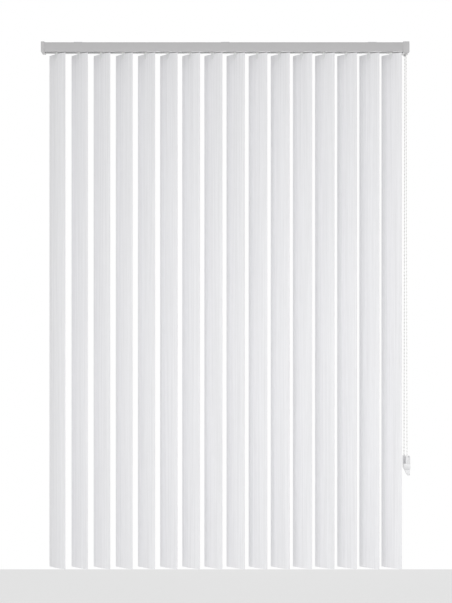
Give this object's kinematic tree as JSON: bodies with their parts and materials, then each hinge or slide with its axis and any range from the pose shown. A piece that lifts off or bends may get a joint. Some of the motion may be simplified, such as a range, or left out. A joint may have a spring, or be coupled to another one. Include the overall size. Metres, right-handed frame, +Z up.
{
  "type": "vertical blind",
  "caption": "Vertical blind: curved upright slats on hangers under a ceiling-fixed headrail, turned by a looped bead chain and drawn aside along the rail.",
  "frame": {"origin": "on the ceiling plane, in the screw hole of the middle top-fix bracket, over the line that the hangers turn on", "axes": "+X along the headrail to the control end, +Y to the window, +Z up"},
  "size_m": [1.305, 0.0624, 1.862],
  "materials": {
    "rail_coated": "white powder coat, satin",
    "bracket_steel": "zinc-plated pressed sheet",
    "cap_plastic": "moulded, satin",
    "wheel_plastic": "moulded, satin",
    "rod_aluminium": "mill finish",
    "chain_plastic": "smooth beads",
    "carrier_plastic": "moulded, matt",
    "hanger_plastic": "translucent white moulding",
    "slat_pvc": "white, embossed with a fine upright grain"
  },
  "bodies": {
    "frame": {"headrail": "rail_coated", "bracket_left": "bracket_steel", "bracket_middle": "bracket_steel", "bracket_right": "bracket_steel", "idle_end_cap": "cap_plastic", "control_housing": "cap_plastic", "control_cover": "cap_plastic", "bead_chain": "chain_plastic", "tidy_bracket": "cap_plastic", "tidy_clip": "cap_plastic", "carrier_16": "carrier_plastic"},
    "rod": {"tilt_rod": "rod_aluminium", "chain_wheel": "wheel_plastic"},
    "carrier_01": {"carrier_01": "carrier_plastic"},
    "carrier_02": {"carrier_02": "carrier_plastic"},
    "carrier_03": {"carrier_03": "carrier_plastic"},
    "carrier_04": {"carrier_04": "carrier_plastic"},
    "carrier_05": {"carrier_05": "carrier_plastic"},
    "carrier_06": {"carrier_06": "carrier_plastic"},
    "carrier_07": {"carrier_07": "carrier_plastic"},
    "carrier_08": {"carrier_08": "carrier_plastic"},
    "carrier_09": {"carrier_09": "carrier_plastic"},
    "carrier_10": {"carrier_10": "carrier_plastic"},
    "carrier_11": {"carrier_11": "carrier_plastic"},
    "carrier_12": {"carrier_12": "carrier_plastic"},
    "carrier_13": {"carrier_13": "carrier_plastic"},
    "carrier_14": {"carrier_14": "carrier_plastic"},
    "carrier_15": {"carrier_15": "carrier_plastic"},
    "vane_01": {"hanger_01": "hanger_plastic", "slat_01": "slat_pvc"},
    "vane_02": {"hanger_02": "hanger_plastic", "slat_02": "slat_pvc"},
    "vane_03": {"hanger_03": "hanger_plastic", "slat_03": "slat_pvc"},
    "vane_04": {"hanger_04": "hanger_plastic", "slat_04": "slat_pvc"},
    "vane_05": {"hanger_05": "hanger_plastic", "slat_05": "slat_pvc"},
    "vane_06": {"hanger_06": "hanger_plastic", "slat_06": "slat_pvc"},
    "vane_07": {"hanger_07": "hanger_plastic", "slat_07": "slat_pvc"},
    "vane_08": {"hanger_08": "hanger_plastic", "slat_08": "slat_pvc"},
    "vane_09": {"hanger_09": "hanger_plastic", "slat_09": "slat_pvc"},
    "vane_10": {"hanger_10": "hanger_plastic", "slat_10": "slat_pvc"},
    "vane_11": {"hanger_11": "hanger_plastic", "slat_11": "slat_pvc"},
    "vane_12": {"hanger_12": "hanger_plastic", "slat_12": "slat_pvc"},
    "vane_13": {"hanger_13": "hanger_plastic", "slat_13": "slat_pvc"},
    "vane_14": {"hanger_14": "hanger_plastic", "slat_14": "slat_pvc"},
    "vane_15": {"hanger_15": "hanger_plastic", "slat_15": "slat_pvc"},
    "vane_16": {"hanger_16": "hanger_plastic", "slat_16": "slat_pvc"}
  },
  "joints": [
    {"name": "draw_01", "type": "slide", "parent": "frame", "child": "carrier_01", "axis": [1, 0, 0], "range_m": [0, 0.81]},
    {"name": "draw_02", "type": "slide", "parent": "frame", "child": "carrier_02", "axis": [1, 0, 0], "range_m": [0, 0.756]},
    {"name": "draw_03", "type": "slide", "parent": "frame", "child": "carrier_03", "axis": [1, 0, 0], "range_m": [0, 0.702]},
    {"name": "draw_04", "type": "slide", "parent": "frame", "child": "carrier_04", "axis": [1, 0, 0], "range_m": [0, 0.648]},
    {"name": "draw_05", "type": "slide", "parent": "frame", "child": "carrier_05", "axis": [1, 0, 0], "range_m": [0, 0.594]},
    {"name": "draw_06", "type": "slide", "parent": "frame", "child": "carrier_06", "axis": [1, 0, 0], "range_m": [0, 0.54]},
    {"name": "draw_07", "type": "slide", "parent": "frame", "child": "carrier_07", "axis": [1, 0, 0], "range_m": [0, 0.486]},
    {"name": "draw_08", "type": "slide", "parent": "frame", "child": "carrier_08", "axis": [1, 0, 0], "range_m": [0, 0.432]},
    {"name": "draw_09", "type": "slide", "parent": "frame", "child": "carrier_09", "axis": [1, 0, 0], "range_m": [0, 0.378]},
    {"name": "draw_10", "type": "slide", "parent": "frame", "child": "carrier_10", "axis": [1, 0, 0], "range_m": [0, 0.324]},
    {"name": "draw_11", "type": "slide", "parent": "frame", "child": "carrier_11", "axis": [1, 0, 0], "range_m": [0, 0.27]},
    {"name": "draw_12", "type": "slide", "parent": "frame", "child": "carrier_12", "axis": [1, 0, 0], "range_m": [0, 0.216]},
    {"name": "draw_13", "type": "slide", "parent": "frame", "child": "carrier_13", "axis": [1, 0, 0], "range_m": [0, 0.162]},
    {"name": "draw_14", "type": "slide", "parent": "frame", "child": "carrier_14", "axis": [1, 0, 0], "range_m": [0, 0.108]},
    {"name": "draw_15", "type": "slide", "parent": "frame", "child": "carrier_15", "axis": [1, 0, 0], "range_m": [0, 0.054]},
    {"name": "tilt_01", "type": "hinge", "parent": "carrier_01", "child": "vane_01", "pos_m": [-0.5975, 0, -0.032], "axis": [0, 0, 1], "range_deg": [-122, 30]},
    {"name": "tilt_02", "type": "hinge", "parent": "carrier_02", "child": "vane_02", "pos_m": [-0.5185, 0, -0.032], "axis": [0, 0, 1], "range_deg": [-122, 30]},
    {"name": "tilt_03", "type": "hinge", "parent": "carrier_03", "child": "vane_03", "pos_m": [-0.4395, 0, -0.032], "axis": [0, 0, 1], "range_deg": [-122, 30]},
    {"name": "tilt_04", "type": "hinge", "parent": "carrier_04", "child": "vane_04", "pos_m": [-0.3605, 0, -0.032], "axis": [0, 0, 1], "range_deg": [-122, 30]},
    {"name": "tilt_05", "type": "hinge", "parent": "carrier_05", "child": "vane_05", "pos_m": [-0.2815, 0, -0.032], "axis": [0, 0, 1], "range_deg": [-122, 30]},
    {"name": "tilt_06", "type": "hinge", "parent": "carrier_06", "child": "vane_06", "pos_m": [-0.2025, 0, -0.032], "axis": [0, 0, 1], "range_deg": [-122, 30]},
    {"name": "tilt_07", "type": "hinge", "parent": "carrier_07", "child": "vane_07", "pos_m": [-0.1235, 0, -0.032], "axis": [0, 0, 1], "range_deg": [-122, 30]},
    {"name": "tilt_08", "type": "hinge", "parent": "carrier_08", "child": "vane_08", "pos_m": [-0.0445, 0, -0.032], "axis": [0, 0, 1], "range_deg": [-122, 30]},
    {"name": "tilt_09", "type": "hinge", "parent": "carrier_09", "child": "vane_09", "pos_m": [0.0345, 0, -0.032], "axis": [0, 0, 1], "range_deg": [-122, 30]},
    {"name": "tilt_10", "type": "hinge", "parent": "carrier_10", "child": "vane_10", "pos_m": [0.1135, 0, -0.032], "axis": [0, 0, 1], "range_deg": [-122, 30]},
    {"name": "tilt_11", "type": "hinge", "parent": "carrier_11", "child": "vane_11", "pos_m": [0.1925, 0, -0.032], "axis": [0, 0, 1], "range_deg": [-122, 30]},
    {"name": "tilt_12", "type": "hinge", "parent": "carrier_12", "child": "vane_12", "pos_m": [0.2715, 0, -0.032], "axis": [0, 0, 1], "range_deg": [-122, 30]},
    {"name": "tilt_13", "type": "hinge", "parent": "carrier_13", "child": "vane_13", "pos_m": [0.3505, 0, -0.032], "axis": [0, 0, 1], "range_deg": [-122, 30]},
    {"name": "tilt_14", "type": "hinge", "parent": "carrier_14", "child": "vane_14", "pos_m": [0.4295, 0, -0.032], "axis": [0, 0, 1], "range_deg": [-122, 30]},
    {"name": "tilt_15", "type": "hinge", "parent": "carrier_15", "child": "vane_15", "pos_m": [0.5085, 0, -0.032], "axis": [0, 0, 1], "range_deg": [-122, 30]},
    {"name": "tilt_16", "type": "hinge", "parent": "frame", "child": "vane_16", "pos_m": [0.5875, 0, -0.032], "axis": [0, 0, 1], "range_deg": [-122, 30]},
    {"name": "rod_spin", "type": "hinge", "parent": "frame", "child": "rod", "pos_m": [0, 0.008, -0.02083], "axis": [1, 0, 0], "range_deg": [-976, 240], "deforming": ["bead_chain"]}
  ],
  "couplings": [
    {"joint": "draw_02", "follows": "draw_01", "ratio": 0.93333},
    {"joint": "draw_03", "follows": "draw_01", "ratio": 0.86667},
    {"joint": "draw_04", "follows": "draw_01", "ratio": 0.8},
    {"joint": "draw_05", "follows": "draw_01", "ratio": 0.73333},
    {"joint": "draw_06", "follows": "draw_01", "ratio": 0.66667},
    {"joint": "draw_07", "follows": "draw_01", "ratio": 0.6},
    {"joint": "draw_08", "follows": "draw_01", "ratio": 0.53333},
    {"joint": "draw_09", "follows": "draw_01", "ratio": 0.46667},
    {"joint": "draw_10", "follows": "draw_01", "ratio": 0.4},
    {"joint": "draw_11", "follows": "draw_01", "ratio": 0.33333},
    {"joint": "draw_12", "follows": "draw_01", "ratio": 0.26667},
    {"joint": "draw_13", "follows": "draw_01", "ratio": 0.2},
    {"joint": "draw_14", "follows": "draw_01", "ratio": 0.13333},
    {"joint": "draw_15", "follows": "draw_01", "ratio": 0.066667},
    {"joint": "tilt_02", "follows": "tilt_01", "ratio": 1},
    {"joint": "tilt_03", "follows": "tilt_01", "ratio": 1},
    {"joint": "tilt_04", "follows": "tilt_01", "ratio": 1},
    {"joint": "tilt_05", "follows": "tilt_01", "ratio": 1},
    {"joint": "tilt_06", "follows": "tilt_01", "ratio": 1},
    {"joint": "tilt_07", "follows": "tilt_01", "ratio": 1},
    {"joint": "tilt_08", "follows": "tilt_01", "ratio": 1},
    {"joint": "tilt_09", "follows": "tilt_01", "ratio": 1},
    {"joint": "tilt_10", "follows": "tilt_01", "ratio": 1},
    {"joint": "tilt_11", "follows": "tilt_01", "ratio": 1},
    {"joint": "tilt_12", "follows": "tilt_01", "ratio": 1},
    {"joint": "tilt_13", "follows": "tilt_01", "ratio": 1},
    {"joint": "tilt_14", "follows": "tilt_01", "ratio": 1},
    {"joint": "tilt_15", "follows": "tilt_01", "ratio": 1},
    {"joint": "tilt_16", "follows": "tilt_01", "ratio": 1},
    {"joint": "rod_spin", "follows": "tilt_01", "ratio": 8}
  ]
}
